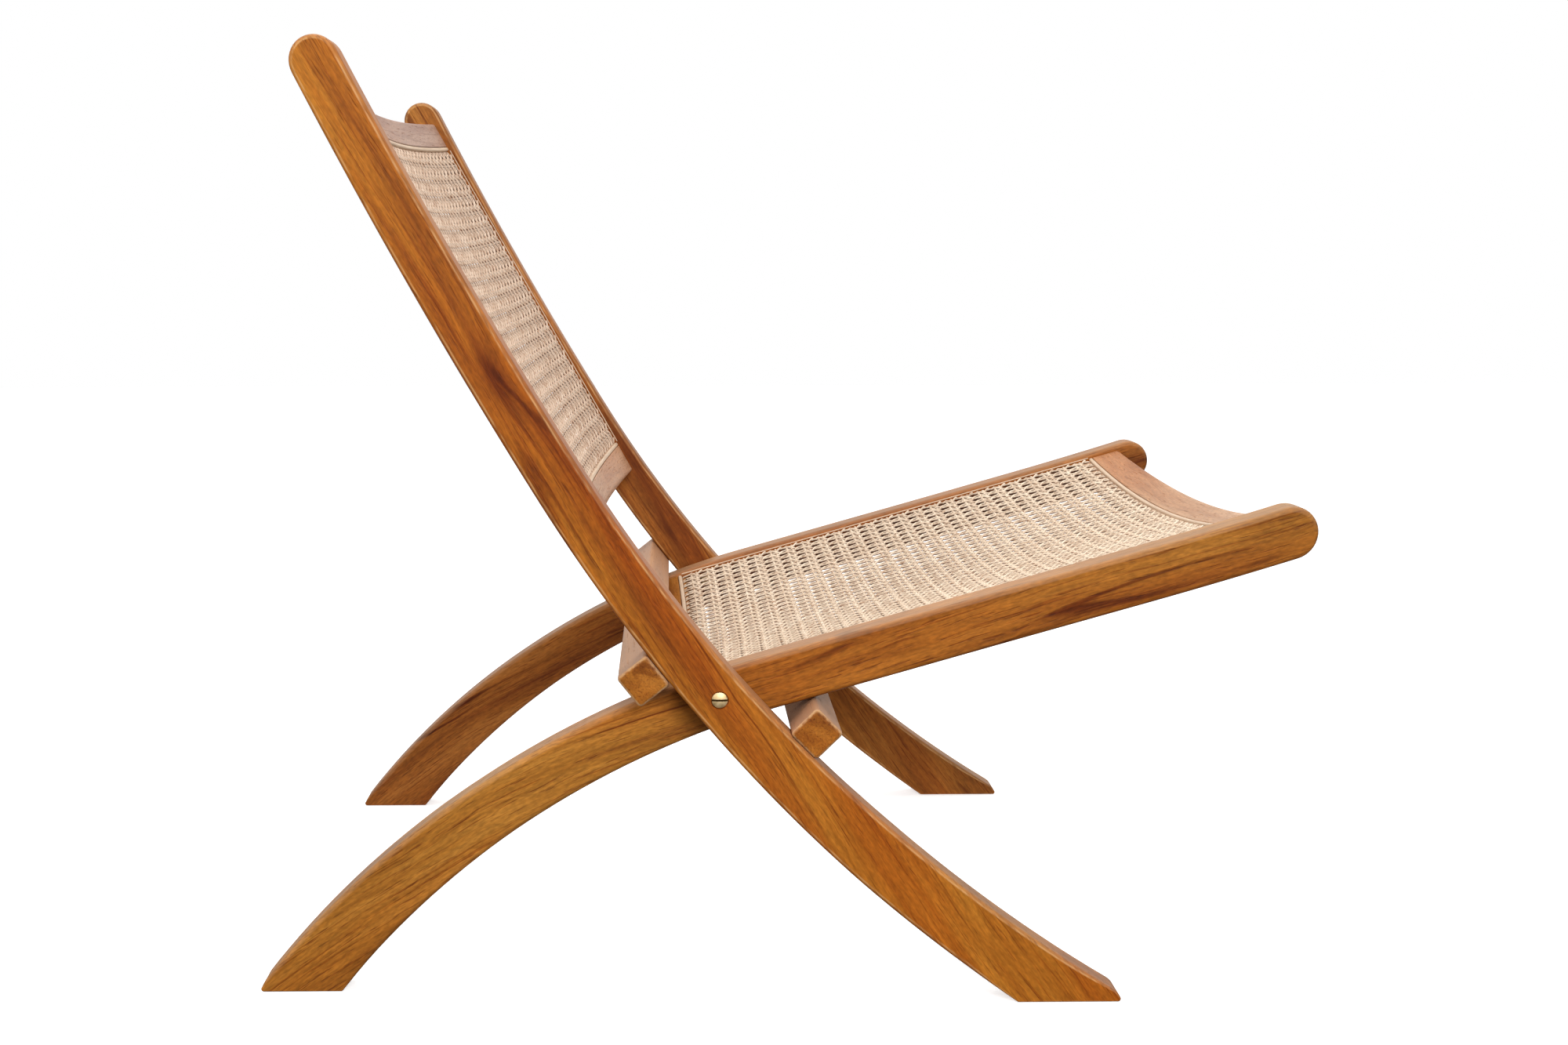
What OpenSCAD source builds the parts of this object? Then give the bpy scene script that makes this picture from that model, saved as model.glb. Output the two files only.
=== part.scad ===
// Folding cane lounge chair: a back frame and a seat frame of curved teak rails,
// crossed at one pivot on each side. The chair stands on the floor at z = 0, its
// front is towards +X, and its depth and width are centred on the origin.

/* [Overall] */
// Width over the outer faces of the back rails
overall_w = 610; // [520:5:700]
// Height of the pivot above the floor
pivot_h = 225.2; // [210:0.1:245]
// Thickness of every rail, across the chair
rail_t = 28.5; // [22:0.5:34]
// Space between a back rail and the seat rail beside it
side_gap = 2.5; // [1.5:0.1:5]

/* [Back rails] */
// Slope of the back rails at the pivot, in degrees from the floor
back_slope = 130.6; // [126:0.1:135]
// Radius of the bend from the foot to above the pivot
back_bend_r = 1190; // [900:10:2500]
// Length of that bend above the pivot
back_bend_up = 185; // [120:5:260]
// Radius of the gentler curve above the bend
back_upper_r = 3650; // [2500:50:9000]
// Length from the pivot to the centre of the rounded top end
back_up_len = 499; // [440:1:600]
// Width of the rail at its foot
back_foot_w = 45.8; // [38:0.2:56]
// Width of the rail at the knee, halfway down the leg
back_knee_w = 43.8; // [36:0.2:52]
// Width of the rail at the pivot
back_pivot_w = 38.6; // [34:0.2:46]
// Width of the rail halfway up the back
back_mid_w = 35.6; // [32:0.2:46]
// Width of the rail at its top end
back_top_w = 33; // [30:0.5:46]
// Length from the pivot down to the foot, where its width is taken
back_foot_at = 330; // [300:5:380]
// Length from the pivot down to the knee
back_knee_at = 160; // [120:5:220]
// Length from the pivot up to the middle of the back
back_mid_at = 222; // [180:1:280]

/* [Seat rails] */
// Slope of the straight front part, in degrees from the floor
seat_slope = 15.8; // [12:0.1:20]
// Height of the pivot above the middle line of the straight part
pivot_rise = 4.6; // [0:0.1:6]
// Start of the straight part, in front of the pivot
seat_bend_start = 35; // [20:1:60]
// Radius of the bend that makes the rear leg
seat_bend_r = 670; // [560:5:900]
// Length from the pivot to the centre of the rounded front end
seat_front_len = 417.5; // [360:0.5:480]
// Width of the rail at its rear foot
seat_foot_w = 49.6; // [40:0.2:58]
// Width of the rail at the knee of the rear leg
seat_knee_w = 42.4; // [36:0.2:50]
// Width of the rail at the pivot
seat_pivot_w = 38.6; // [34:0.2:46]
// Width of the rail at the middle of the seat
seat_mid_w = 37.6; // [34:0.2:46]
// Width of the rail at its front end
seat_front_w = 37.6; // [34:0.2:48]
// Length of the front end that curves up
front_curl_len = 110; // [60:5:160]
// How far the front end curves up
front_curl = 1.5; // [0:0.1:4]
// Length from the pivot down to the foot, where its width is taken
seat_foot_at = 390; // [350:5:430]
// Length from the pivot down to the knee
seat_knee_at = 180; // [140:5:240]

/* [Feet] */
// Height above the floor where the blunt toe is cut
toe_h = 7.5; // [6.5:0.5:12]
// Slope of the cut toe, in degrees from the floor
toe_slope = 62; // [56:1:68]
// Radius at the top of the cut toe
toe_top_r = 14; // [4:1:18]
// Radius of the toe at the floor
toe_r = 2; // [1:0.5:2.5]
// Radius of the rounded heel
heel_r = 2; // [1:0.5:4]

/* [Crossrails] */
// Thickness of the scooped crossrails
cross_t = 22; // [18:0.5:26]
// Bare wood beside the cane on the top crossrail of the back
back_top_face = 24; // [16:0.5:36]
// Bare wood beside the cane on the lower crossrail of the back
back_low_face = 27; // [16:0.5:36]
// Bare wood beside the cane on the front crossrail of the seat
seat_front_face = 27; // [16:0.5:36]
// Bare wood beside the cane on the rear crossrail of the seat
seat_rear_face = 26; // [16:0.5:30]
// How far the front edge of the seat bows forward at its middle
front_bow = 5; // [0:0.5:12]
// Wood under the edge of the cane, inside the spline groove
cane_lip = 7; // [5:0.5:12]

/* [Back panel] */
// Station of the lower end of the cane, above the pivot
back_cane_from = 150.5; // [135:0.5:200]
// Station of the upper end of the cane, above the pivot
back_cane_to = 468.5; // [400:0.5:560]
// Depth of the panel behind the front edge of the rails, at its upper end
back_recess_top = 7; // [4:0.5:10]
// Depth of the panel behind the front edge of the rails, at its lower end
back_recess_low = 10; // [4:0.5:14]
// Depth of the scoop across the back
back_sag = 18; // [8:0.5:26]

/* [Seat panel] */
// Station of the rear end of the cane, behind the pivot
seat_cane_rear = 25.5; // [20:0.5:40]
// Station of the front end of the cane, in front of the pivot
seat_cane_front = 385.5; // [320:0.5:440]
// Depth of the panel below the top edge of the rails
seat_recess = 5; // [4:0.5:9]
// Depth of the scoop across the seat
seat_sag = 17; // [8:0.5:26]

/* [Cane and splines] */
// Thickness of the woven cane
cane_t = 2.4; // [1.5:0.1:3]
// Width of the reed splines
spline_w = 4; // [3:0.5:6]
// Height of the reed splines
spline_h = 4.6; // [3.5:0.1:6]
// How far a spline stands above the wood beside it
spline_proud = 0.6; // [0.2:0.1:1.2]
// Depth of the side grooves that hold the cane
side_groove = 6; // [4:0.5:9]
// Reach of the cane into a side groove
cane_tongue = 3; // [2:0.5:3.5]
// Height of a side spline
side_spline_h = 2.6; // [2:0.1:3.5]
// How far a side spline stands out of the rail
side_spline_in = 0.8; // [0.4:0.1:1.2]

/* [Stop bars] */
// Side of the square stop bars
bar_size = 27; // [22:0.5:32]
// Clearance between a stop bar and the seat rails that rest on it
stop_gap = 0.3; // [0.2:0.1:1]

/* [Pivot hardware] */
// Diameter of the bolt shank
bolt_d = 6; // [5:0.5:7]
// Diameter of the sleeve nut that the seat rail turns on
sleeve_d = 9; // [8:0.5:11]
// Diameter of the bolt head and of the nut head
head_d = 11.2; // [10:0.2:13]
// Height of the rim of a head, below its dome
head_rim = 1.3; // [0.8:0.1:2]
// Height of the dome of a head
head_dome = 1.2; // [0.6:0.1:1.6]
// Width of the screwdriver slot
slot_w = 1.2; // [0.8:0.1:1.6]
// Depth of the screwdriver slot
slot_depth = 1.1; // [0.6:0.1:1.4]
// Outer diameter of the spacing washer
washer_d = 22; // [16:0.5:26]
// Length of the sleeve inside the back rail
sleeve_in = 12; // [8:1:16]
// Depth of the rim of a head below the face of the rail
head_sink = 0.5; // [0.2:0.1:1]
// Solid length of a nut behind the inner face of the seat rail
nut_solid = 6; // [4:0.5:10]
// Space left in the nut at the end of the bolt
bolt_spare = 2; // [1:0.5:5]

/* [Dowels] */
// Diameter of the dowels
dowel_d = 8; // [6:0.5:9]
// Depth of a dowel in the rail
dowel_in_rail = 14; // [10:1:18]
// Depth of a dowel in the crossrail or stop bar
dowel_in_cross = 16; // [12:1:20]
// Distance between the two dowels of a crossrail joint
dowel_pitch = 16; // [12:1:18]
// Depth of these dowels below the middle of the crossrail
dowel_drop = 2.2; // [0:0.1:3]

/* [Clearances] */
// Radial clearance of the seat rail on its sleeve
running_fit = 0.05; // [0.03:0.01:0.1]
// Clearance around glued and clamped pieces
seat_fit = 0.1; // [0.05:0.05:0.2]
// Clearance between faces that move past each other
face_gap = 0.3; // [0.2:0.1:0.6]
// Clearance around the woven cane
cane_gap = 0.25; // [0.1:0.05:0.4]
// Play between a head and the wall of its recess
head_play = 0.7; // [0.4:0.1:1]

/* [Hidden] */

teak = "#b06a2c";
teak_end = "#8f5a35";
cane = "#dcc19c";
reed = "#ead9b8";
brass = "#c9a95a";
birch = "#d8c39a";
nylon = "#e8e4d8";

// Roundness of bores, shanks and heads
round_fn = 64;
// Spacing of the outline points along a rail
step = 12;
// Spacing of the outline points across a panel
cross_step = 20;
// Angle between the points of a rounded corner
corner_step = 9;
// Length of a leg, as it is drawn before the floor cuts it
leg_line = 2.5 * pivot_h;
// Outline kept beside a rounded corner of a foot
corner_reach = 10;
// Overlap of a cutter past the face that it opens
past = 1;

// Turning along an arc of radius r, in degrees for a length d
function bend(d, r) = d / r * 180 / PI;
// Unit vectors along a heading and to its left
function along(a) = [cos(a), sin(a)];
function left_of(a) = [-sin(a), cos(a)];
// A point at length d on a clockwise arc from p with heading a and radius r
function on_arc(p, a, r, d) =
    p + r * [sin(a) - sin(a - bend(d, r)), cos(a - bend(d, r)) - cos(a)];

// Middle line of a back rail: station s is the length above the pivot
back_upper_slope = back_slope - bend(back_bend_up, back_bend_r);
function back_heading(s) = s <= back_bend_up
    ? back_slope - bend(s, back_bend_r)
    : back_upper_slope - bend(s - back_bend_up, back_upper_r);
function back_point(s) = s <= back_bend_up
    ? on_arc([0, 0], back_slope, back_bend_r, s)
    : on_arc(back_point(back_bend_up), back_upper_slope, back_upper_r, s - back_bend_up);
function back_half(s) = lookup(s, [
    [-back_foot_at, back_foot_w], [-back_knee_at, back_knee_w], [0, back_pivot_w],
    [back_mid_at, back_mid_w], [back_up_len, back_top_w]]) / 2;

// Middle line of a seat rail: station s is the length in front of the pivot
seat_knot = seat_bend_start * along(seat_slope) - pivot_rise * left_of(seat_slope);
seat_centre = seat_knot - seat_bend_r * left_of(seat_slope);
function seat_heading(s) = s >= seat_bend_start
    ? seat_slope
    : seat_slope + bend(seat_bend_start - s, seat_bend_r);
function seat_point(s) = s >= seat_bend_start
    ? seat_knot + (s - seat_bend_start) * along(seat_slope)
    : seat_centre + seat_bend_r * left_of(seat_heading(s));
function seat_half(s) = lookup(s, [
    [-seat_foot_at, seat_foot_w], [-seat_knee_at, seat_knee_w], [0, seat_pivot_w],
    [seat_front_len / 2, seat_mid_w], [seat_front_len, seat_front_w]]) / 2;
// How far a seat rail has curved up at station s
function seat_curl(s) =
    front_curl * pow(max(0, s - seat_front_len + front_curl_len) / front_curl_len, 2);

// Both middle lines as rows of x, z, heading and half width, from foot to end
function stations(from, to) = [for (i = [0 : ceil((to - from) / step)])
    min(to, from + i * step)];
back_line = [for (s = stations(-leg_line, back_up_len))
    concat(back_point(s), [back_heading(s), back_half(s)])];
seat_line = [for (s = stations(-leg_line, seat_front_len))
    concat(seat_point(s) + seat_curl(s) * left_of(seat_slope), [seat_heading(s), seat_half(s)])];

// One edge of a rail: k is 1 for the left of its heading and -1 for the right
function rail_edge(line, k) = [for (q = line)
    [q[0], q[1]] + k * q[3] * left_of(q[2])];

// Where an edge that rises from the foot passes the height z
function crossing(edge, z) = [for (i = [1 : len(edge) - 1])
    if (edge[i - 1].y <= z && edge[i].y > z)
        edge[i - 1] + (z - edge[i - 1].y) / (edge[i].y - edge[i - 1].y)
            * (edge[i] - edge[i - 1])][0];

// The corner c between points a and b, rounded to radius r and turning either way
function unit(v) = v / norm(v);
function corner(a, c, b, r) =
    let (
        u = unit(a - c), v = unit(b - c),
        half = acos(u * v) / 2,
        centre = c + unit(u + v) * r / sin(half),
        from = atan2((c + u * r / tan(half) - centre).y, (c + u * r / tan(half) - centre).x),
        turn = sign(cross(c - a, b - c)) * (180 - 2 * half),
        n = max(2, ceil(abs(turn) / corner_step)))
    [for (i = [0 : n]) centre + r * along(from + turn * i / n)];

// The part of an edge that lies above and clear of the corner at c
function clear_of(edge, c) = [for (p = edge) if (p.y > c.y && norm(p - c) > corner_reach) p];

// An edge of a rail from the floor up, with a cut toe or a heel. The floor face comes
// from the point other, at its far side
function footed_edge(edge, other, is_toe) =
    let (
        foot = crossing(edge, -pivot_h),
        top = is_toe ? crossing(edge, -pivot_h + toe_h) : foot,
        out = sign(foot.x - other.x),
        tip = [top.x + out * toe_h / tan(toe_slope), -pivot_h],
        up = clear_of(edge, top))
    concat(
        is_toe ? corner(other, tip, top, toe_r) : corner(other, foot, up[0], heel_r),
        is_toe ? corner(tip, top, up[0], toe_top_r) : [],
        up);

// Outline of a rail: right edge up, rounded end, left edge down, flat foot. The toe is
// on the left for k = 1 and on the right for k = -1
function rail_outline(line, k) =
    let (
        right = rail_edge(line, -1), left = rail_edge(line, 1),
        up = footed_edge(right, crossing(left, -pivot_h), k < 0),
        down = footed_edge(left, crossing(right, -pivot_h), k > 0),
        tip = line[len(line) - 1],
        n = ceil(180 / corner_step))
    concat(
        up,
        [for (i = [1 : n - 1]) [tip[0], tip[1]] + tip[3] * along(tip[2] - 90 + 180 * i / n)],
        [for (i = [len(down) - 1 : -1 : 0]) down[i]]);

back_outline = rail_outline(back_line, -1);
seat_outline = rail_outline(seat_line, 1);

// The pivot stands so that the depth of the chair is centred on the origin
all_x = [for (p = concat(back_outline, seat_outline)) p.x];
pivot_x = -(min(all_x) + max(all_x)) / 2;

// Faces of the rails across the chair
back_out = overall_w / 2;
back_in = back_out - rail_t;
seat_out = back_in - side_gap;
seat_in = seat_out - rail_t;
// Recess of a head, and the outer end of the nut's sleeve
recess_depth = head_rim + head_sink;
sleeve_end = back_in + sleeve_in;

// Plane of the back panel, from the recesses at its two ends
function back_front_at(s, recess) =
    back_point(s) - (back_half(s) - recess) * left_of(back_heading(s));
back_low_at = back_front_at(back_cane_from, back_recess_low);
back_top_at = back_front_at(back_cane_to, back_recess_top);
back_panel_slope = atan2((back_top_at - back_low_at).y, (back_top_at - back_low_at).x);
back_panel_len = norm(back_top_at - back_low_at);

// Plane of the seat panel, parallel to the straight part of the rails
seat_panel_z = seat_pivot_w / 2 - seat_recess - pivot_rise;
seat_panel_len = seat_cane_front + seat_cane_rear;
seat_panel_at = -seat_cane_rear * along(seat_slope) + seat_panel_z * left_of(seat_slope);

// Signed distance of a point from the middle line of a seat rail, up is positive
function seat_ahead(p) = (p - seat_knot) * along(seat_slope);
function seat_offset(p) = seat_ahead(p) >= 0
    ? (p - seat_knot) * left_of(seat_slope)
    : norm(p - seat_centre) - seat_bend_r;
function seat_station(p) = seat_ahead(p) >= 0
    ? seat_bend_start + seat_ahead(p)
    : seat_bend_start - seat_bend_r * (atan2((p - seat_centre).y, (p - seat_centre).x)
        - 90 - seat_slope) * PI / 180;

// A stop bar lies along the edge of the back rails at station s: k is 1 behind them
// and -1 in front. Its inner face clears the bulge of the edge by seat_fit
function back_edge(s, k) = back_point(s) + k * back_half(s) * left_of(back_heading(s));
function bar_slope(s, k) =
    let (d = back_edge(s + bar_size / 2, k) - back_edge(s - bar_size / 2, k))
    atan2(d.y, d.x);
bar_clear = seat_fit + pow(bar_size, 2) / (8 * back_bend_r);
function bar_foot(s, k) = back_edge(s, k) + k * bar_clear * left_of(bar_slope(s, k));
// The corner of the bar that meets the seat rails
function bar_corner(s, k) = bar_foot(s, k)
    - k * bar_size / 2 * along(bar_slope(s, k)) + k * bar_size * left_of(bar_slope(s, k));
function bar_gap(s, k) = let (c = bar_corner(s, k))
    k * seat_offset(c) - seat_half(seat_station(c));
// The station where that corner clears the seat rail by stop_gap, by halving the
// length of rail that is searched
bar_search = [15, 160];
halvings = 24;
function bar_station(k, near = bar_search[0], far = bar_search[1], n = halvings) =
    let (mid = (near + far) / 2)
    n == 0 ? mid
    : bar_gap(k * mid, k) > stop_gap ? bar_station(k, near, mid, n - 1)
    : bar_station(k, mid, far, n - 1);
rear_bar_s = bar_station(1);
front_bar_s = -bar_station(-1);

// Places a shape drawn in the side plane, from y0 to y1
module slab(y0, y1) {
    translate([pivot_x, y1, pivot_h]) rotate([90, 0, 0]) linear_extrude(y1 - y0) children();
}

// Puts a panel's own frame in place: x up the panel, y across, z out of its face
module in_back_panel() {
    translate([pivot_x + back_low_at.x, 0, pivot_h + back_low_at.y])
        rotate([0, -back_panel_slope, 0]) mirror([0, 0, 1]) children();
}
module in_seat_panel() {
    translate([pivot_x + seat_panel_at.x, 0, pivot_h + seat_panel_at.y])
        rotate([0, -seat_slope, 0]) children();
}

// Height of a scooped face at y, for a scoop of depth sag over a half width. Past
// that width, inside the rails, the face is level
function scoop(y, sag, half_w) = -sag * (1 - pow(min(abs(y), half_w) / half_w, 2));

// Even points across the chair, from -half_w to half_w
function points_across(half_w) = let (n = 2 * ceil(half_w / cross_step))
    [for (i = [0 : n]) half_w * (2 * i / n - 1)];

// A scooped band along x from x0 to x1, its top raised by top and its depth deep.
// It reaches y = +-reach and follows the scoop over half_w
module band(x0, x1, top, deep, sag, half_w, reach) {
    inside = points_across(half_w);
    ys = reach > half_w ? concat([-reach], inside, [reach])
        : concat([-reach], [for (y = inside) if (abs(y) < reach - past) y], [reach]);
    n = len(ys) - 1;
    translate([x0, 0, 0]) rotate([90, 0, 90]) linear_extrude(x1 - x0) polygon(concat(
        [for (y = ys) [y, scoop(y, sag, half_w) + top]],
        [for (i = [n : -1 : 0]) [ys[i], scoop(ys[i], sag, half_w) + top - deep]]));
}

// A scooped crossrail in its panel frame. It reaches from the cane's edge at x = 0
// outwards by face, and inwards under the cane. Dowel holes open in both ends
module crossrail(face, sag, half_w, bow = 0) {
    inner = spline_w + cane_lip;
    bowed = [for (y = points_across(half_w)) [face + bow * (1 - pow(y / half_w, 2)), y]];
    difference() {
        intersection() {
            band(-inner, face + bow, 0, cross_t, sag, half_w, half_w);
            translate([0, 0, -sag - cross_t - past]) linear_extrude(sag + cross_t + 2 * past)
                polygon(concat([[-inner, -half_w]], bowed, [[-inner, half_w]]));
        }
        band(-inner - past, -spline_w, past, past + cane_t + cane_gap, sag, half_w,
            half_w + past);
        band(-spline_w - seat_fit, seat_fit, past,
            past + spline_h - spline_proud + seat_fit, sag, half_w, half_w + past);
        crossrail_dowels(face, half_w, seat_fit);
    }
}

// The four dowels of a crossrail, or their holes with play around them
module crossrail_dowels(face, half_w, play) {
    middle = (face - spline_w - cane_lip) / 2;
    for (side = [-1, 1], k = [-1, 1])
        translate([middle + k * dowel_pitch / 2, side * half_w, -cross_t / 2 - dowel_drop])
            rotate([-90 * side, 0, 0]) translate([0, 0, -dowel_in_cross - play])
                cylinder(h = dowel_in_cross + dowel_in_rail + 2 * play,
                    d = dowel_d + 2 * play, $fn = round_fn);
}

// Crossrail places: the panel frame is moved, and turned round at the lower or rear end
module at_far_end(len) { translate([len, 0, 0]) children(); }
module at_near_end() { mirror([1, 0, 0]) children(); }

// Spline along a crossrail, its outer edge at x = 0
module cross_spline(sag, half_w) {
    band(-spline_w, 0, spline_proud, spline_h, sag, half_w, half_w - seat_fit);
}

// The side groove of a panel, and the spline that fills its front part
module side_channel(len, half_w) {
    for (side = [-1, 1])
        translate([0, side > 0 ? half_w - past : -half_w - side_groove,
            -cane_t - cane_gap])
            cube([len, side_groove + past, cane_t + 2 * cane_gap + side_spline_h + seat_fit]);
}
module side_spline(len, half_w, side) {
    translate([spline_w + seat_fit, side > 0 ? half_w - side_spline_in : -half_w - side_groove
        + seat_fit, cane_gap])
        cube([len - 2 * spline_w - 2 * seat_fit, side_groove + side_spline_in - seat_fit,
            side_spline_h]);
}

// Woven cane between the splines, with a tongue in each side groove
module cane_panel(len, sag, half_w) {
    band(spline_w + seat_fit, len - spline_w - seat_fit, 0, cane_t, sag, half_w,
        half_w + cane_tongue);
}

// The two dowels of a stop bar, or their holes
module bar_dowels(s, k, play) {
    a = bar_slope(s, k);
    p = bar_foot(s, k);
    for (side = [-1, 1])
        translate([pivot_x + p.x, side * (back_out - rail_t / 2), pivot_h + p.y])
            rotate([0, k > 0 ? -a : 180 - a, 0])
                translate([0, 0, -dowel_in_rail - play])
                    cylinder(h = dowel_in_rail + dowel_in_cross + 2 * play,
                        d = dowel_d + 2 * play, $fn = round_fn);
}

// A stop bar over the full width: k is 1 behind the back rails, -1 in front
module stop_bar(s, k) {
    a = bar_slope(s, k);
    p = bar_foot(s, k);
    q = k * bar_size * left_of(a);
    h = bar_size / 2 * along(a);
    color(teak) difference() {
        slab(-back_out, back_out) polygon([p - h, p + h, p + h + q, p - h + q]);
        bar_dowels(s, k, seat_fit);
    }
}

// A pin or bore through one side of the chair at the pivot, from y0 outwards to y1
module pivot_pin(side, y0, y1, d) {
    translate([pivot_x, side * y0, pivot_h]) rotate([-90 * side, 0, 0])
        cylinder(h = y1 - y0, d = d, $fn = round_fn);
}

module back_rail(side) {
    y0 = side > 0 ? back_in : -back_out;
    color(teak) difference() {
        slab(y0, y0 + rail_t) polygon(back_outline);
        pivot_pin(side, back_in - past, sleeve_end + seat_fit, sleeve_d + 2 * seat_fit);
        pivot_pin(side, back_in, back_out + past, bolt_d + 2 * seat_fit);
        pivot_pin(side, back_out - recess_depth, back_out + past, head_d + 2 * head_play);
        in_back_panel() side_channel(back_panel_len, back_in);
        in_back_panel() at_far_end(back_panel_len)
            crossrail_dowels(back_top_face, back_in, seat_fit);
        in_back_panel() at_near_end() crossrail_dowels(back_low_face, back_in, seat_fit);
        bar_dowels(rear_bar_s, 1, seat_fit);
        bar_dowels(front_bar_s, -1, seat_fit);
    }
}

module seat_rail(side) {
    y0 = side > 0 ? seat_in : -seat_out;
    color(teak) difference() {
        slab(y0, y0 + rail_t) polygon(seat_outline);
        pivot_pin(side, seat_in - past, seat_out + past, sleeve_d + 2 * running_fit);
        pivot_pin(side, seat_in - past, seat_in + recess_depth, head_d + 2 * head_play);
        in_seat_panel() side_channel(seat_panel_len, seat_in);
        in_seat_panel() at_far_end(seat_panel_len)
            crossrail_dowels(seat_front_face, seat_in, seat_fit);
        in_seat_panel() at_near_end() crossrail_dowels(seat_rear_face, seat_in, seat_fit);
    }
}

// A slotted domed head on the pivot axis, facing +Z, its underside at z = 0
module slotted_head() {
    dome_r = (pow(head_d / 2, 2) + pow(head_dome, 2)) / (2 * head_dome);
    difference() {
        union() {
            cylinder(h = head_rim, d = head_d, $fn = round_fn);
            translate([0, 0, head_rim]) intersection() {
                translate([0, 0, head_dome - dome_r]) sphere(r = dome_r, $fn = 2 * round_fn);
                cylinder(h = head_dome + past, d = head_d, $fn = round_fn);
            }
        }
        translate([-head_d, -slot_w / 2, head_rim + head_dome - slot_depth])
            cube([2 * head_d, slot_w, slot_depth + past]);
    }
}

module pivot_bolt(side) {
    head_at = back_out - recess_depth + seat_fit;
    color(brass) union() {
        translate([pivot_x, side * head_at, pivot_h]) rotate([-90 * side, 0, 0])
            slotted_head();
        pivot_pin(side, seat_in + nut_solid + bolt_spare, head_at, bolt_d);
    }
}

module pivot_nut(side) {
    head_at = seat_in + recess_depth - face_gap;
    color(brass) difference() {
        union() {
            translate([pivot_x, side * head_at, pivot_h]) rotate([90 * side, 0, 0])
                slotted_head();
            pivot_pin(side, head_at, sleeve_end, sleeve_d);
        }
        pivot_pin(side, seat_in + nut_solid, sleeve_end + past, bolt_d + 2 * seat_fit);
    }
}

module pivot_washer(side) {
    color(nylon) difference() {
        pivot_pin(side, back_in - side_gap + face_gap, back_in, washer_d);
        pivot_pin(side, back_in - side_gap - past, back_in + past, sleeve_d + 2 * seat_fit);
    }
}

module back_top_crossrail() {
    color(teak_end) in_back_panel() at_far_end(back_panel_len)
        crossrail(back_top_face, back_sag, back_in);
}
module back_lower_crossrail() {
    color(teak_end) in_back_panel() at_near_end()
        crossrail(back_low_face, back_sag, back_in);
}
module seat_front_crossrail() {
    color(teak_end) in_seat_panel() at_far_end(seat_panel_len)
        crossrail(seat_front_face, seat_sag, seat_in, front_bow);
}
module seat_rear_crossrail() {
    color(teak_end) in_seat_panel() at_near_end()
        crossrail(seat_rear_face, seat_sag, seat_in);
}

module back_cane_panel() {
    color(cane) in_back_panel() cane_panel(back_panel_len, back_sag, back_in);
}
module seat_cane_panel() {
    color(cane) in_seat_panel() cane_panel(seat_panel_len, seat_sag, seat_in);
}

module back_spline_top() {
    color(reed) in_back_panel() at_far_end(back_panel_len) cross_spline(back_sag, back_in);
}
module back_spline_bottom() {
    color(reed) in_back_panel() at_near_end() cross_spline(back_sag, back_in);
}
module seat_spline_front() {
    color(reed) in_seat_panel() at_far_end(seat_panel_len) cross_spline(seat_sag, seat_in);
}
module seat_spline_rear() {
    color(reed) in_seat_panel() at_near_end() cross_spline(seat_sag, seat_in);
}
module back_side_spline(side) {
    color(reed) in_back_panel() side_spline(back_panel_len, back_in, side);
}
module seat_side_spline(side) {
    color(reed) in_seat_panel() side_spline(seat_panel_len, seat_in, side);
}

module back_dowels() {
    color(birch) in_back_panel() {
        at_far_end(back_panel_len) crossrail_dowels(back_top_face, back_in, 0);
        at_near_end() crossrail_dowels(back_low_face, back_in, 0);
    }
}
module seat_dowels() {
    color(birch) in_seat_panel() {
        at_far_end(seat_panel_len) crossrail_dowels(seat_front_face, seat_in, 0);
        at_near_end() crossrail_dowels(seat_rear_face, seat_in, 0);
    }
}
module stop_bar_dowels() {
    color(birch) {
        bar_dowels(rear_bar_s, 1, 0);
        bar_dowels(front_bar_s, -1, 0);
    }
}

back_rail(1);  // back_rail_left
back_rail(-1);  // back_rail_right
back_top_crossrail();
back_lower_crossrail();
stop_bar(rear_bar_s, 1);  // rear_stop_bar
stop_bar(front_bar_s, -1);  // front_stop_bar
back_cane_panel();
back_spline_top();
back_spline_bottom();
back_side_spline(1);  // back_spline_left
back_side_spline(-1);  // back_spline_right
back_dowels();
stop_bar_dowels();
seat_rail(1);  // seat_rail_left
seat_rail(-1);  // seat_rail_right
seat_front_crossrail();
seat_rear_crossrail();
seat_cane_panel();
seat_spline_front();
seat_spline_rear();
seat_side_spline(1);  // seat_spline_left
seat_side_spline(-1);  // seat_spline_right
seat_dowels();
pivot_bolt(1);  // pivot_bolt_left
pivot_bolt(-1);  // pivot_bolt_right
pivot_nut(1);  // pivot_nut_left
pivot_nut(-1);  // pivot_nut_right
pivot_washer(1);  // pivot_washer_left
pivot_washer(-1);  // pivot_washer_right
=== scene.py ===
import math

import bmesh
import bpy
from mathutils import Matrix, Vector, noise


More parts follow.
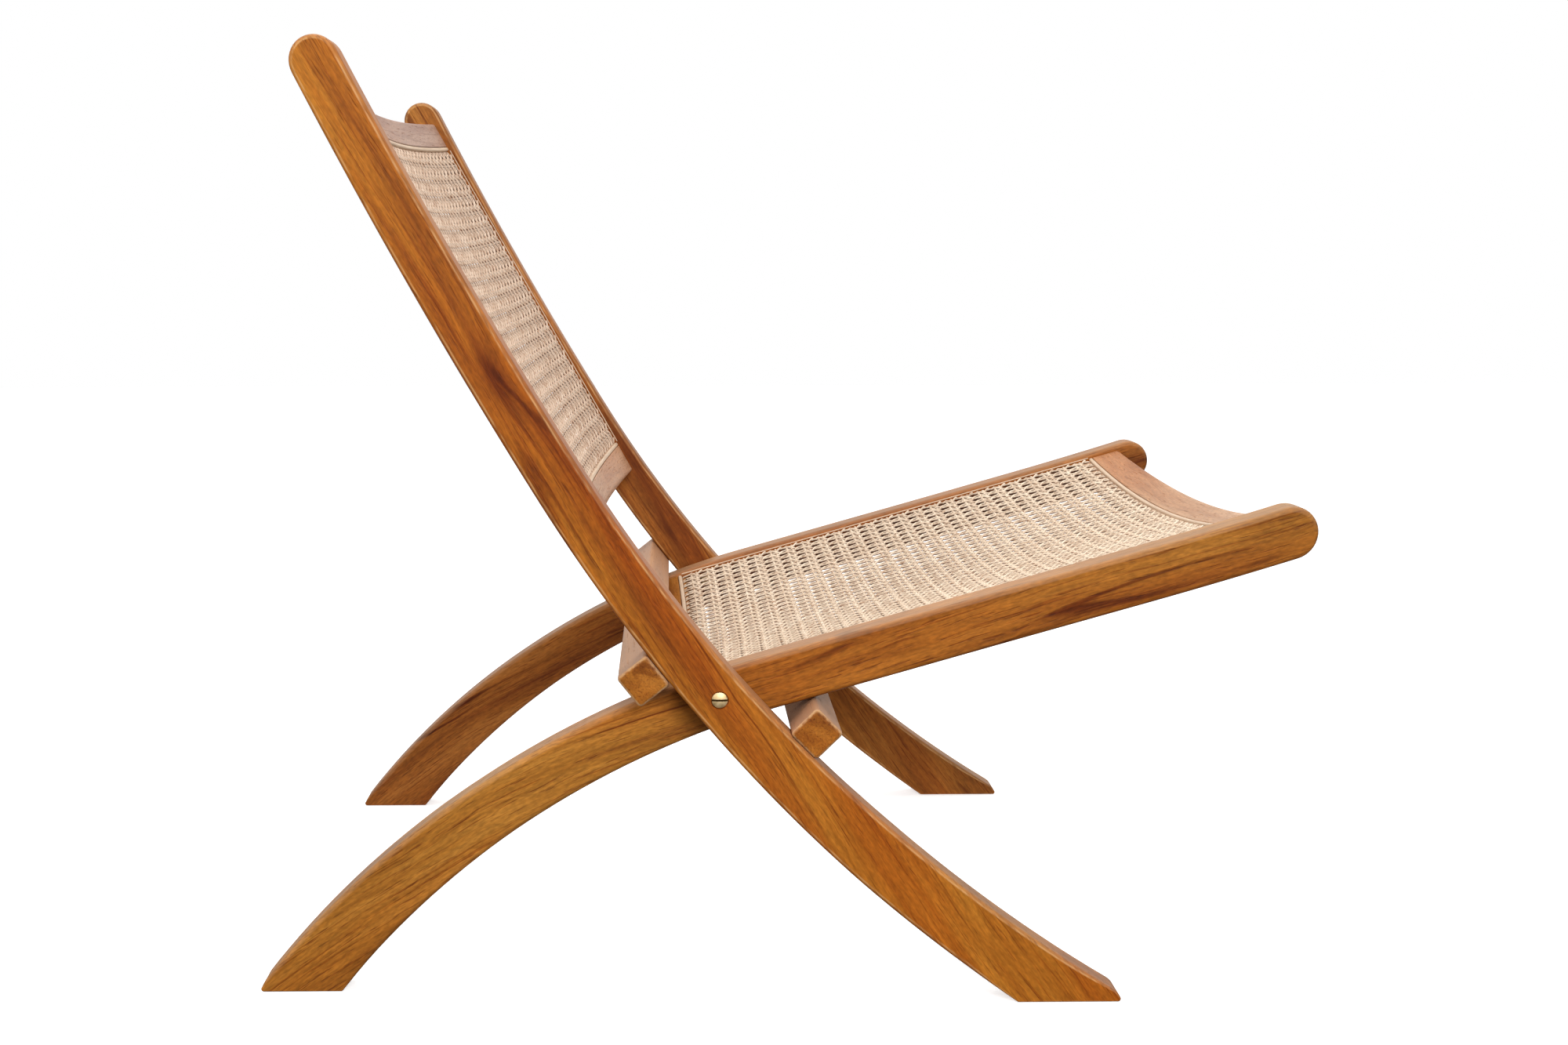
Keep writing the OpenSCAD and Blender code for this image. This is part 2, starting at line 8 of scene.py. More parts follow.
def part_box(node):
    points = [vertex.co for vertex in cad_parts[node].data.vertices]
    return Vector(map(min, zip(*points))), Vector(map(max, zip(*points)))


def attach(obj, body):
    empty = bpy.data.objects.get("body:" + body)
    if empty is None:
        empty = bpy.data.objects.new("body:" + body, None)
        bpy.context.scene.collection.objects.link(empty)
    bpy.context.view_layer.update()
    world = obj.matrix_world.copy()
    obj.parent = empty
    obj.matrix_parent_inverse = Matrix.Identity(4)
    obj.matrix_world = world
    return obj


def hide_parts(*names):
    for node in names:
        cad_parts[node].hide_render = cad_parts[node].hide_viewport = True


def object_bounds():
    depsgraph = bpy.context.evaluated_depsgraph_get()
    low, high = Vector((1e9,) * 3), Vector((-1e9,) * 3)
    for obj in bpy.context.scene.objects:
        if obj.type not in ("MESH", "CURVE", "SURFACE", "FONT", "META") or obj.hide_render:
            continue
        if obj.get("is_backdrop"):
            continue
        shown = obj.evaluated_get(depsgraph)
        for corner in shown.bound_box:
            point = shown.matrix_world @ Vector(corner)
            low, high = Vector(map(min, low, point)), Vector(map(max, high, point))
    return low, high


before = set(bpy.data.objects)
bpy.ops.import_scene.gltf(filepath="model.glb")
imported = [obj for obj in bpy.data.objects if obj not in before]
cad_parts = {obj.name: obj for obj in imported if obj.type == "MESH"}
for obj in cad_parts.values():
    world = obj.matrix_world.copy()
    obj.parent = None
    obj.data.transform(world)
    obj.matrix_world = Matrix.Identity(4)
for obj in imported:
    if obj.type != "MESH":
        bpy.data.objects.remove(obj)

cad_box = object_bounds()


def heading(degrees):
    """A direction in the side plane, from the front towards up."""
    return Vector((math.cos(math.radians(degrees)), 0, math.sin(math.radians(degrees))))


# Sizes in metres, in the chair's own frame: front +X, sitter's left +Y, up +Z
mm = 0.001
merge_distance = 0.001 * mm              # corners this close are one corner
across = (0, 1, 0)
pivot = Vector((-42.0048, 0, 225.2)) * mm
rail_thick = 28.5 * mm
washer_thick = 2.5 * mm
back_out = 305 * mm                      # outer face of a back rail
back_in = back_out - rail_thick
seat_out = back_in - washer_thick
seat_in = seat_out - rail_thick


class Panel:
    """A woven panel in its frame: start is the middle of its lower or rear edge, half is
    half its width, and sag is the depth of its scoop. It runs forward from start, and out
    is the way to the sitter."""

    def __init__(self, name, start, slope, length, half, sag):
        self.name = name
        self.body = name + "_frame"
        self.start = start
        self.length = length
        self.half = half
        self.sag = sag
        self.forward = heading(slope)
        self.out = heading(slope + 90 if slope < 90 else slope - 90)


back_panel = Panel("back", pivot + Vector((-83.5455, 0, 124.705)) * mm, 119.552,
                   316.943 * mm, back_in, 18 * mm)
seat_panel = Panel("seat", pivot + Vector((-27.1777, 0, 2.39037)) * mm, 15.8,
                   411 * mm, seat_in, 17 * mm)


# Shader sums

class Value:
    """A number socket, used in sums as a plain number is."""

    def __init__(self, finish, socket):
        self.finish = finish
        self.socket = socket

    def sum(self, operation, *others):
        node = self.finish.add("ShaderNodeMath", {"operation": operation},
                               dict(enumerate((self,) + others)))
        return Value(self.finish, node.outputs[0])

    def __add__(self, other):
        return self.sum("ADD", other)

    def __radd__(self, other):
        return self.sum("ADD", other)

    def __sub__(self, other):
        return self.sum("SUBTRACT", other)

    def __rsub__(self, other):
        return (self * -1) + other

    def __mul__(self, other):
        return self.sum("MULTIPLY", other)

    def __rmul__(self, other):
        return self.sum("MULTIPLY", other)

    def __truediv__(self, other):
        return self.sum("DIVIDE", other)

    def __rtruediv__(self, other):
        return self.sum("POWER", -1) * other

    def wave(self):
        return self.sum("SINE")

    def lowest(self, other):
        return self.sum("MINIMUM", other)

    def size(self):
        return self.sum("ABSOLUTE")

    def rise(self, low, high):
        """0 below low, 1 above high, and smooth between them."""
        node = self.finish.add("ShaderNodeMapRange",
                               {"interpolation_type": "SMOOTHSTEP", "clamp": True},
                               {"Value": self, "From Min": low, "From Max": high})
        return Value(self.finish, node.outputs[0])


class Nodes:
    """The nodes of one material or sky."""

    def __init__(self, tree):
        self.tree = tree

    def add(self, kind, settings=None, sockets=None):
        node = self.tree.nodes.new(kind)
        for key, value in (settings or {}).items():
            if key == "stops":
                ramp = node.color_ramp
                while len(ramp.elements) < len(value):
                    ramp.elements.new(1)
                for element, (place, colour) in zip(ramp.elements, value):
                    element.position = place
                    element.color = colour + (1,)
            else:
                setattr(node, key, value)
        for key, value in (sockets or {}).items():
            self.feed(node.inputs[key], value)
        return node

    def feed(self, socket, value):
        if isinstance(value, Value):
            value = value.socket
        if isinstance(value, bpy.types.NodeSocket):
            self.tree.links.new(value, socket)
        elif isinstance(value, tuple) and len(value) == 3 and socket.type == "RGBA":
            socket.default_value = value + (1,)
        else:
            socket.default_value = value

    def place(self):
        """The piece's own coordinates, as they lie in the chair."""
        return self.add("ShaderNodeTexCoord").outputs["Object"]

    def length_along(self, vector, start=(0, 0, 0)):
        """How far a point lies from start along a vector."""
        away = self.add("ShaderNodeVectorMath", {"operation": "SUBTRACT"},
                        {0: self.place(), 1: tuple(start)})
        node = self.add("ShaderNodeVectorMath", {"operation": "DOT_PRODUCT"},
                        {0: away.outputs[0], 1: tuple(vector)})
        return Value(self, node.outputs["Value"])

    def axes(self, start=(0, 0, 0)):
        """How far a point lies from start to the front, to the left and up."""
        return [self.length_along(way, start) for way in ((1, 0, 0), (0, 1, 0), (0, 0, 1))]

    def mark(self, name):
        """What a piece's own attribute says at a point."""
        return Value(self, self.add("ShaderNodeAttribute", {"attribute_name": name}).outputs[2])

    def point(self, x, y, z):
        return self.add("ShaderNodeCombineXYZ", None, {0: x, 1: y, 2: z}).outputs[0]

    def cloud(self, x, y, z, detail=2.0, rough=0.5):
        """Soft noise from 0 to 1 at a point, with one lump to the unit."""
        node = self.add("ShaderNodeTexNoise", None,
                        {"Vector": self.point(x, y, z), "Scale": 1.0, "Detail": detail,
                         "Roughness": rough})
        return Value(self, node.outputs[0])

    def ramp(self, value, *stops):
        return self.add("ShaderNodeValToRGB", {"stops": stops}, {0: value}).outputs["Color"]

    def mix(self, how, amount, first, second):
        node = self.add("ShaderNodeMix", {"data_type": "RGBA", "blend_type": how},
                        {0: amount, 6: first, 7: second})
        return node.outputs[2]

    def seen_and_felt(self, seen, felt):
        """A shader that the camera sees as seen, and that lights the chair as felt."""
        is_seen = self.add("ShaderNodeLightPath").outputs["Is Camera Ray"]
        return self.add("ShaderNodeMixShader", None, {0: is_seen, 1: felt, 2: seen}).outputs[0]

    def bump(self, height, strength, depth):
        return self.add("ShaderNodeBump", None, {"Height": height, "Strength": strength,
                                                 "Distance": depth}).outputs[0]


class Finish(Nodes):
    """One material, made of the nodes that feed its surface."""

    def __init__(self, name):
        self.material = bpy.data.materials.new(name)
        self.material.use_nodes = True
        super().__init__(self.material.node_tree)
        self.surface = self.tree.nodes["Principled BSDF"]
        self.colour = None

    def set(self, **values):
        for key, value in values.items():
            self.feed(self.surface.inputs[key.replace("_", " ")], value)

    def fix(self, socket, value):
        """Sets what is the same all over."""
        self.surface.inputs[socket].default_value = value

    def darken(self, amount, colour):
        self.colour = self.mix("MULTIPLY", amount, self.colour, colour)

    def paint(self, amount, colour):
        self.colour = self.mix("MIX", amount, self.colour, colour)

    def overlay(self, amount, colour):
        self.colour = self.mix("OVERLAY", amount, self.colour, colour)


def grey(level):
    return (level, level, level)


# Camera and studio

def place_camera():
    """A camera at the photograph's viewpoint, a little above the seat on the right side."""
    yaw, pitch, roll = (math.radians(turn) for turn in (-0.6241, 14.0614, -0.1358))
    viewpoint = pivot + Vector((-33.31, -1666.39, 297.75)) * mm
    ahead = Vector((-math.sin(yaw) * math.cos(pitch), math.cos(yaw) * math.cos(pitch),
                    -math.sin(pitch)))
    right = Vector((math.cos(yaw), math.sin(yaw), 0))
    up = right.cross(ahead)
    across_picture = math.cos(roll) * right + math.sin(roll) * up
    up_picture = -math.sin(roll) * right + math.cos(roll) * up
    data = bpy.data.cameras.new("viewpoint")
    data.lens = 45.9
    data.sensor_width = 36
    data.shift_x = 0.0578
    data.shift_y = 0.1520
    camera = bpy.data.objects.new("viewpoint", data)
    bpy.context.scene.collection.objects.link(camera)
    turn = Matrix((across_picture, up_picture, -ahead)).transposed()
    camera.matrix_world = Matrix.Translation(viewpoint) @ turn.to_4x4()
    bpy.context.scene.camera = camera


def hang_paper():
    """White paper all round: bright on the chair's far side, and dim on the side that the
    photograph shows, so that polished flats keep their colour. It is seen as white."""
    dim = grey(0.20)
    white = grey(1)
    world = bpy.data.worlds.new("studio")
    bpy.context.scene.world = world
    world.use_nodes = True
    sky = Nodes(world.node_tree)
    way = sky.add("ShaderNodeTexCoord").outputs["Generated"]
    parts = sky.add("ShaderNodeSeparateXYZ", None, {0: way}).outputs
    forward = Value(sky, parts[0])
    beyond = Value(sky, parts[1])
    bright = beyond.rise(-0.55, 0.25) - forward.rise(0.1, 0.9) * 0.25
    paper = sky.ramp(bright, (0, dim), (1, white))
    seen = sky.add("ShaderNodeBackground", None, {0: white}).outputs[0]
    felt = sky.add("ShaderNodeBackground", None, {0: paper}).outputs[0]
    sky.feed(sky.tree.nodes["World Output"].inputs["Surface"], sky.seen_and_felt(seen, felt))


def soft_light(name, place, size, power):
    """A softbox that is turned to the middle of the chair."""
    aim = Vector((0, 0, 0.3))
    data = bpy.data.lights.new(name, "AREA")
    data.shape = "RECTANGLE"
    data.size, data.size_y = size
    data.energy = power
    lamp = bpy.data.objects.new(name, data)
    bpy.context.scene.collection.objects.link(lamp)
    lamp.location = place
    lamp.rotation_euler = (aim - Vector(place)).to_track_quat("-Z", "Y").to_euler()


def light_studio():
    bpy.context.scene.view_settings.view_transform = "Standard"
    hang_paper()
    soft_light("overhead softbox", place=(0.0, 0.3, 2.4), size=(1.6, 1.6), power=23)
    soft_light("camera softbox", place=(0.5, -2.7, 1.45), size=(1.5, 1.0), power=70)
    soft_light("rear softbox", place=(-1.9, -1.7, 1.2), size=(1.0, 1.4), power=20)


def pale_floor():
    """Seen as pale and matt. The chair is lit by it as by the paper: bright on the far side,
    and dim on the near side."""
    dim = grey(0.20)
    bright = grey(0.52)
    dim_at = -0.25
    bright_at = 0.12
    f = Finish("pale floor")
    shade = f.length_along(across).rise(dim_at, bright_at)
    paper = f.ramp(shade, (0, dim), (1, bright))
    felt = f.add("ShaderNodeEmission", None, {0: paper}).outputs[0]
    both = f.seen_and_felt(f.surface.outputs[0], felt)
    f.feed(f.tree.nodes["Material Output"].inputs["Surface"], both)
    f.fix("Base Color", (0.75, 0.75, 0.75, 1))
    f.fix("Roughness", 0.9)
    f.fix("Emission Color", (1, 1, 1, 1))
    f.fix("Emission Strength", 0.62)
    return f.material


def lay_floor():
    """A plain pale floor, just below the feet."""
    width = 14
    below_feet = 0.5 * mm
    let_go()
    bpy.ops.mesh.primitive_plane_add(size=width, location=(0, 0, -below_feet))
    floor = bpy.context.object
    floor.name = "floor"
    bpy.ops.object.transform_apply(location=True, rotation=True, scale=True)
    floor.data.materials.append(pale_floor())
    floor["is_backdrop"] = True


# Teak

# The dark, middle and light tones of each kind of teak in the chair; the crossrails' tones
# carry painted sheen, and the far seat rail's tone painted shade
honey = ((0.215, 0.056, 0.006), (0.345, 0.110, 0.010), (0.445, 0.165, 0.018))
golden = ((0.205, 0.064, 0.009), (0.335, 0.130, 0.018), (0.440, 0.190, 0.032))
russet = ((0.180, 0.052, 0.008), (0.290, 0.098, 0.015), (0.385, 0.150, 0.028))
# far seat rail: its own darker tone, partly painted shade under the seat
umber_and_shade = ((0.150, 0.038, 0.006), (0.242, 0.074, 0.011), (0.320, 0.112, 0.021))
# the crossrails: teak tones paled and greyed by painted sheen
lilac_sheen = ((0.350, 0.205, 0.150), (0.430, 0.275, 0.205), (0.490, 0.330, 0.255))
rosy_sheen = ((0.400, 0.215, 0.130), (0.490, 0.300, 0.190), (0.560, 0.360, 0.240))
peach_sheen = ((0.420, 0.230, 0.130), (0.520, 0.310, 0.185), (0.590, 0.370, 0.235))

# What darkens the wood, and painted shade
redder_patch = (0.92, 0.68, 0.50)
ring_line = (0.38, 0.22, 0.13)
pore_fleck = (0.44, 0.28, 0.18)
vein_line = (0.50, 0.31, 0.20)
heartwood = (0.72, 0.50, 0.38)
knot_eye = (0.42, 0.24, 0.16)
# painted shade on a rail's inner face below a panel
painted_shade_under_panel = (0.36, 0.18, 0.09)

# What lightens it: worn places, painted sheen, painted top light and painted edge highlights
# painted sheen on a bar's long faces
bar_sheen_inside_ends = (0.52, 0.32, 0.20)
scuffed_end = (0.62, 0.37, 0.17)
# painted light on a rail's top faces
painted_top_light = (0.62, 0.43, 0.26)
# worn edges, with a painted highlight
rubbed_and_highlit_edge = (0.66, 0.36, 0.14)


class Teak(Finish):
    """Oiled teak, built up in layers. u, v and w are lengths from the pivot along, across
    and through the grain."""

    def __init__(self, name, grain, aside, seed):
        super().__init__(name)
        self.seed = seed
        self.u = self.length_along(grain, pivot)
        self.v = self.length_along(aside, pivot)
        self.w = self.length_along(Vector(grain).cross(Vector(aside)), pivot)

    def lumps(self, per_metre, moved, detail=2.0, rough=0.5):
        """Soft noise with so many lumps per metre along, across and through the grain,
        moved by so many seeds in each of these ways."""
        spots = [way * count + self.seed * shift if shift else way * count
                 for way, count, shift in zip((self.u, self.v, self.w), per_metre, moved)]
        return self.cloud(*spots, detail, rough)

    def bend_grain(self, bow, knot):
        """Bows the grain by bow per metre squared behind the pivot, leads it round a knot
        that lies so far along and across it, and lets it wander."""
        back = self.u.lowest(0)
        self.v = self.v + back * back * bow
        if knot:
            # The knot reaches 26 mm along the grain and 8 mm across it
            along = (self.u - knot[0]) * 38
            aside = (self.v - knot[1]) * 130
            self.swirl = 1 / (along * along + aside * aside + 1)
            self.v = self.v + self.swirl * aside * (4 * mm) + self.swirl * (6 * mm)
        wander = self.lumps((4.5, 12, 12), (1, 0, 0), 1) - 0.5
        ripple = self.lumps((24, 50, 40), (0, 1, 0), 1) - 0.5
        self.v = self.v + wander * (18 * mm) + ripple * (2.2 * mm)

    def draw_figure(self, tones, figure):
        """The wood's own pattern. figure is how strongly it shows."""
        dark, middle, light = tones
        bands = self.lumps((2.2, 34, 26), (2, 0, 0), 3, 0.6)
        glow = self.lumps((9, 110, 60), (0, 1, 0), 3, 0.6)
        self.streak = self.lumps((26, 430, 430), (0, 1, 0), 3, 0.7)
        self.speck = self.lumps((190, 620, 620), (0, 0, 1), 1, 0.6)
        rings = (self.lumps((1.6, 26, 14), (1, 0, 0)) * 26).wave().rise(0.88, 1.0)
        faded = self.lumps((9, 40, 30), (0, 1, 0)).rise(0.42, 0.62)
        self.pore = self.lumps((42, 760, 760), (0, 0, 1), 1).rise(0.62, 0.72)
        vein = self.lumps((11, 560, 560), (1, 0, 0), 1, 0.6).rise(0.61, 0.69)
        redder = self.lumps((2.2, 16, 12), (1, 0, 0), 1).rise(0.42, 0.68)
        self.colour = self.ramp(bands * 0.66 + glow * 0.34,
                                (0.36, dark), (0.49, middle), (0.62, light))
        self.darken(redder * 0.8, redder_patch)
        self.darken(rings * faded * (0.95 * figure), ring_line)
        self.overlay(0.3 + 0.3 * figure,
                     self.ramp(self.streak, (0.28, grey(0.34)), (0.72, (0.66, 0.65, 0.62))))
        self.overlay(0.2 + 0.35 * figure,
                     self.ramp(self.speck, (0.30, grey(0.33)), (0.70, (0.67, 0.66, 0.64))))
        self.darken(self.pore * (0.2 + 0.5 * figure), pore_fleck)
        self.darken(vein * (0.2 + 0.4 * figure), vein_line)

    def add_heart(self, middle, half):
        """A band of redder heartwood, so wide across the grain, that fades in front."""
        lean = (self.v - middle) / half
        core = 1 / (lean * lean * lean * lean + 1)
        self.darken(core * (0.85 - self.u.rise(0.10, 0.26) * 0.85), heartwood)

    def add_ends(self, end):
        """A bar is painted paler and pinker inside its ends, as painted sheen on its long
        faces, and scuffed round their edges.
        """
        out = self.length_along(across).size()
        inside = 1 - out.rise(end - 1.6 * mm, end - 0.4 * mm)
        # painted sheen on the long faces, inside the ends
        self.paint(inside * 0.6, bar_sheen_inside_ends)
        worn = out.rise(end - 2.6 * mm, end - 1.5 * mm) \
            * (1 - out.rise(end - 0.8 * mm, end - 0.1 * mm))
        chips = 300
        chip = self.cloud(out * chips, self.v * chips, self.w * chips).rise(0.35, 0.60)
        self.paint(worn * (chip * 0.5 + 0.1), scuffed_end)

    def add_knot(self):
        self.darken(self.swirl.rise(0.25, 0.95) * 0.75, knot_eye)

    def add_shade(self, panel):
        """Painted shade: the inner face of a rail is darkened where it is hidden below a panel.
        """
        fade = 8 * mm
        height = self.length_along(panel.out, panel.start)
        reach = self.length_along(panel.forward, panel.start)
        inward = 1 - self.length_along(across).size().rise(panel.half + 0.3 * mm,
                                                           panel.half + 2 * mm)
        below = (1 - height.rise(-5 * mm, -2 * mm)) * reach.rise(0, fade) \
            * (1 - reach.rise(panel.length - fade, panel.length)) * inward
        # painted shade below the panel
        self.darken(below, painted_shade_under_panel)

    def add_wear_and_painted_light(self):
        """Tops get painted light, and edges are worn and get a painted highlight."""
        # painted light on top faces
        self.paint(self.mark("sunned") * (self.streak * 0.25 + 0.24), painted_top_light)
        scuff = self.lumps((50, 260, 260), (0, 0, 1), 2, 0.6).rise(0.34, 0.62)
        # worn edges with a painted highlight
        self.paint(self.mark("rubbed") * (scuff * 0.6 + 0.1), rubbed_and_highlit_edge)


def teak(name, grain, aside, seed, tones, figure, bow=0.0, knot=None, heart=None,
         end=None, panel=None, gloss=0.12):
    """The teak of one piece. A rail may have a knot, redder heartwood and a panel that
    hides its inner face under painted shade, and end is how far a bar reaches from the chair's
    middle."""
    wood = Teak(name, grain, aside, seed)
    wood.bend_grain(bow, knot)
    wood.draw_figure(tones, figure)
    if heart:
        wood.add_heart(*heart)
    if end:
        wood.add_ends(end)
    if knot:
        wood.add_knot()
    if panel:
        wood.add_shade(panel)
    wood.add_wear_and_painted_light()
    relief = wood.streak * 0.6 + wood.speck * 0.5 - wood.pore * 1.2
    wood.set(Base_Color=wood.colour, Normal=wood.bump(relief, 0.35, 0.4 * mm),
             Roughness=wood.streak * 0.14 + 0.40 + wood.pore * 0.2)
    wood.fix("Specular IOR Level", gloss)
    return wood.material


# Other finishes

# The dark, middle and light tones of new cane
cane_tones = ((0.66, 0.50, 0.36), (0.84, 0.68, 0.51), (0.93, 0.80, 0.64))


def woven_cane(name, along, aside, seed, tint_and_shade, flank_shade):
    """Matt natural cane. Each strand has its own tone, with fine fibres along it, and has
    painted shade down its flanks. Its red, green and blue are scaled down, slightly for a
    warmer tone and, where its panel faces away from the light, as painted shade."""
    f = Finish(name)
    u = f.length_along(along)
    v = f.length_along(aside)
    own = f.cloud(u * 9 + seed, v * 420, seed, 1)
    fibre = f.cloud(u * 45, v * 2600 + seed, u * 3, 2, 0.6)
    stain = f.cloud(u * 60 + seed, v * 60, v * 8)
    dash = f.cloud(u * 230, v * 900 + seed, v * 40, 1)
    # tones scaled down, on the back panel as painted shade
    dark, middle, light = [tuple(c * t for c, t in zip(tone, tint_and_shade)) for tone in cane_tones]
    f.colour = f.ramp(own, (0.30, dark), (0.50, middle), (0.70, light))
    # painted shade down the flanks of each strand
    f.darken(f.mark("rim") * flank_shade, (0.15, 0.085, 0.05))
    f.darken(dash.rise(0.57, 0.66) * 0.8, (0.60, 0.43, 0.31))
    f.darken(fibre.rise(0.55, 0.75) * 0.35, (0.70, 0.56, 0.42))
    f.darken(stain.rise(0.58, 0.78) * 0.35, (0.72, 0.58, 0.46))
    f.set(Base_Color=f.colour, Roughness=fibre * 0.2 + 0.52,
          Normal=f.bump(fibre, 0.3, 0.2 * mm))
    return f.material


def reed(name, along, aside, seed):
    """Pale matt reed, with long fibres."""
    f = Finish(name)
    u = f.length_along(along)
    v = f.length_along(aside)
    w = f.length_along((0, 0, 1))
    fibre = f.cloud(u * 14 + seed, v * 1400, w * 1400, 2, 0.6)
    knot = f.cloud(u * 30 + seed, v * 20, w * 20, 1)
    f.colour = f.ramp(fibre * 0.7 + knot * 0.3, (0.32, (0.54, 0.37, 0.24)),
                      (0.55, (0.66, 0.49, 0.34)), (0.75, (0.74, 0.58, 0.42)))
    f.set(Base_Color=f.colour, Roughness=fibre * 0.15 + 0.5,
          Normal=f.bump(fibre, 0.3, 0.2 * mm))
    return f.material


def brass():
    """Plain pale brass, lightly brushed and a little tarnished, with painted shade in its
    slots.
    """
    f = Finish("pale brass")
    x, y, z = f.axes(pivot)
    brushed = f.cloud(x * 400, y * 400, z * 9000, 2, 0.6)
    tarnish = f.cloud(x * 260 + 3, y * 260, z * 260, 3, 0.6)
    f.colour = f.ramp(tarnish, (0.32, (0.55, 0.38, 0.17)), (0.55, (0.78, 0.58, 0.31)),
                      (0.75, (0.86, 0.69, 0.43)))
    # painted shade in the slot
    slot_shade = 1 - z.size().rise(0.6 * mm, 0.8 * mm)
    f.darken(slot_shade, (0.07, 0.05, 0.03))
    f.set(Base_Color=f.colour, Roughness=tarnish * 0.2 + 0.46,
          Normal=f.bump(brushed, 0.12, 0.05 * mm))
    f.fix("Metallic", 1.0)
    return f.material


def beech():
    """Plain beech dowels, with short dark flecks."""
    f = Finish("plain beech")
    x, y, z = f.axes()
    grain = f.cloud(x * 500, y * 30, z * 500)
    fleck = f.cloud(x * 1500, y * 300, z * 1500, 0)
    f.colour = f.ramp(grain, (0.35, (0.52, 0.36, 0.21)), (0.65, (0.68, 0.51, 0.33)))
    f.darken(fleck.rise(0.62, 0.70) * 0.5, (0.5, 0.36, 0.24))
    f.set(Base_Color=f.colour, Roughness=grain * 0.1 + 0.55,
          Normal=f.bump(grain, 0.2, 0.2 * mm))
    return f.material


def nylon():
    """Natural nylon, off white and slightly grained."""
    f = Finish("natural nylon")
    x, y, z = f.axes()
    grain = f.cloud(x * 2200, y * 2200, z * 2200)
    f.colour = f.ramp(grain, (0.3, (0.70, 0.67, 0.58)), (0.7, (0.80, 0.78, 0.71)))
    f.set(Base_Color=f.colour, Roughness=grain * 0.1 + 0.42,
          Normal=f.bump(grain, 0.15, 0.1 * mm))
    return f.material


# Making pieces

def let_go():
    if bpy.context.object and bpy.context.object.mode == "EDIT":
        bpy.ops.object.mode_set(mode="OBJECT")
    bpy.ops.object.select_all(action="DESELECT")


def pick(piece):
    let_go()
    piece.select_set(True)
    bpy.context.view_layer.objects.active = piece


def turn_faces_out(piece):
    pick(piece)
    bpy.ops.object.mode_set(mode="EDIT")
    bpy.ops.mesh.select_all(action="SELECT")
    bpy.ops.mesh.normals_make_consistent(inside=False)
    bpy.ops.object.mode_set(mode="OBJECT")


def new_piece(name, points, faces):
    mesh = bpy.data.meshes.new(name)
    mesh.from_pydata(points, [], faces)
    piece = bpy.data.objects.new(name, mesh)
    bpy.context.scene.collection.objects.link(piece)
    return piece


def turned_from(node, name):
    """A new piece that starts as a clean copy of a CAD node, with one face per flat."""
    flat_angle = 0.0008
    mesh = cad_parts[node].data.copy()
    mesh.name = name
    piece = bpy.data.objects.new(name, mesh)
    bpy.context.scene.collection.objects.link(piece)
    mesh.materials.clear()
    pick(piece)
    bpy.ops.object.mode_set(mode="EDIT")
    bpy.ops.mesh.select_all(action="SELECT")
    bpy.ops.mesh.remove_doubles(threshold=merge_distance)
    bpy.ops.mesh.normals_make_consistent(inside=False)
    bpy.ops.mesh.dissolve_limited(angle_limit=flat_angle)
    bpy.ops.object.mode_set(mode="OBJECT")
    return piece


def round_over(piece, width, chosen, segments):
    """Rounds the edges that chosen(edge) picks."""
    shape = bmesh.new()
    shape.from_mesh(piece.data)
    layer = shape.edges.layers.float.new("bevel_weight_edge")
    for edge in shape.edges:
        edge[layer] = 1 if len(edge.link_faces) == 2 and chosen(edge) else 0
    shape.to_mesh(piece.data)
    shape.free()
    pick(piece)
    bevel = piece.modifiers.new("round over", "BEVEL")
    bevel.limit_method = "WEIGHT"
    bevel.width = width
    bevel.segments = segments
    bevel.use_clamp_overlap = False
    bpy.ops.object.modifier_apply(modifier=bevel.name)


def smooth(piece, degrees=28):
    pick(piece)
    bpy.ops.object.shade_smooth_by_angle(angle=math.radians(degrees))
    even = piece.modifiers.new("even shading", "WEIGHTED_NORMAL")
    even.keep_sharp = True
    bpy.ops.object.modifier_apply(modifier=even.name)


def dress(piece, material, body, slot, *nodes):
    piece.data.materials.clear()
    piece.data.materials.append(material)
    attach(piece, body)
    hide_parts(*nodes)


def is_sharp(edge, degrees):
    return edge.calc_face_angle(0) > math.radians(degrees)


def skin(name, rings):
    """A closed piece from rings of points, capped at both ends."""
    count = len(rings[0])
    points = [p for ring in rings for p in ring]
    faces = [tuple(reversed(range(count))),
             tuple(range(len(points) - count, len(points)))]
    for i in range(len(rings) - 1):
        for k in range(count):
            a = i * count + k
            b = i * count + (k + 1) % count
            faces.append((a, b, b + count, a + count))
    piece = new_piece(name, points, faces)
    turn_faces_out(piece)
    return piece


def rounded_corner(x, z, radius, low, high, steps):
    """Points round a corner about (x, z), from one angle to another."""
    turns = [math.radians(low + (high - low) * i / steps) for i in range(steps + 1)]
    return [(x + radius * math.cos(turn), z + radius * math.sin(turn)) for turn in turns]


# Rails

ease_steps = 5                           # flats that round one edge of a rail
foot_ease = 1.1 * mm                     # rounding of the edges at the feet
outer_end_ease = 5.2 * mm                # rounding at the rounded end, outside
inner_end_ease = 7.5 * mm                # and inside


def side_outline(node, outer):
    """The outline of a rail on its outer face, in order, without its bore."""
    shape = bmesh.new()
    shape.from_mesh(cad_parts[node].data)
    bmesh.ops.remove_doubles(shape, verts=shape.verts, dist=merge_distance)
    beside = {}
    for edge in shape.edges:
        if len(edge.link_faces) == 2 and is_sharp(edge, 80) and \
                all(abs(abs(corner.co.y) - outer) < 0.01 * mm for corner in edge.verts):
            for one, other in (edge.verts, reversed(edge.verts)):
                beside.setdefault(one.index, []).append(other.index)
    spots = {corner.index: corner.co.copy() for corner in shape.verts}
    shape.free()
    loops = []
    while beside:
        loop = [next(iter(beside))]
        while True:
            ahead = [i for i in beside.pop(loop[-1]) if i in beside]
            if not ahead:
                break
            loop.append(ahead[0])
        loops.append(loop)
    return [spots[i] for i in max(loops, key=len)]


